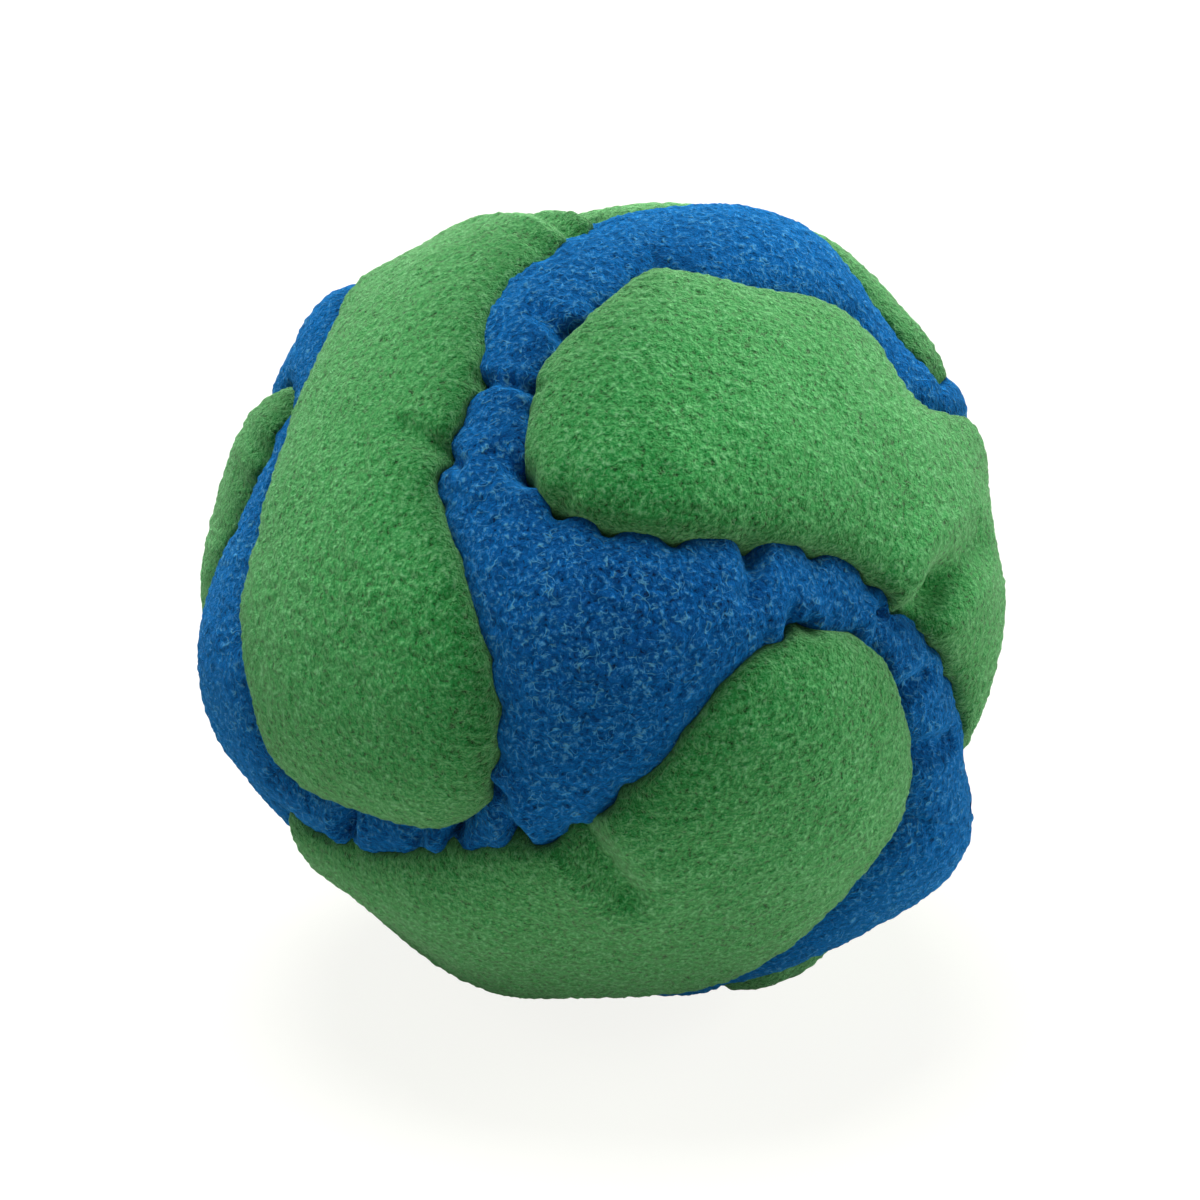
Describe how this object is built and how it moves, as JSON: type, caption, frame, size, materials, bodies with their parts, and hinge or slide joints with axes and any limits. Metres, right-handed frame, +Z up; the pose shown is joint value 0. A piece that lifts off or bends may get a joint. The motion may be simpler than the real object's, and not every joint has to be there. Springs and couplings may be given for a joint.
{
  "type": "footbag",
  "caption": "Soft round kicking bag sewn from green bone-shaped and blue pinwheel panels of brushed cloth, filled with loose pellets.",
  "frame": {"origin": "middle of the small flat on which the ball rests, on the outer face of the bottom pinwheel panel", "axes": "+Z up through the ball's middle, -Y towards the front pinwheel panel, +X to the right as seen from the front"},
  "size_m": [0.0522, 0.0522, 0.0517],
  "materials": {
    "green_fleece": "brushed microfibre fleece, short matt nap",
    "blue_fleece": "brushed microfibre fleece, slightly longer nap",
    "sewing_thread": "twisted polyester thread",
    "pellets": "loose moulded pellets"
  },
  "bodies": {
    "root": {"bone_panel_front_left": "green_fleece", "bone_panel_front_right": "green_fleece", "bone_panel_front_low": "green_fleece", "bone_panel_top": "green_fleece", "bone_panel_right": "green_fleece", "bone_panel_left": "green_fleece", "pinwheel_panel_front": "blue_fleece", "pinwheel_panel_bottom": "blue_fleece", "pinwheel_panel_left": "blue_fleece", "pinwheel_panel_right": "blue_fleece", "seam_thread_front_left": "sewing_thread", "seam_thread_front_right": "sewing_thread", "seam_thread_front_low": "sewing_thread", "seam_thread_top": "sewing_thread", "seam_thread_right": "sewing_thread", "seam_thread_left": "sewing_thread", "junction_thread_upper": "sewing_thread", "junction_thread_right": "sewing_thread", "junction_thread_left": "sewing_thread", "junction_thread_back": "sewing_thread", "pellet_filling": "pellets"}
  },
  "joints": []
}
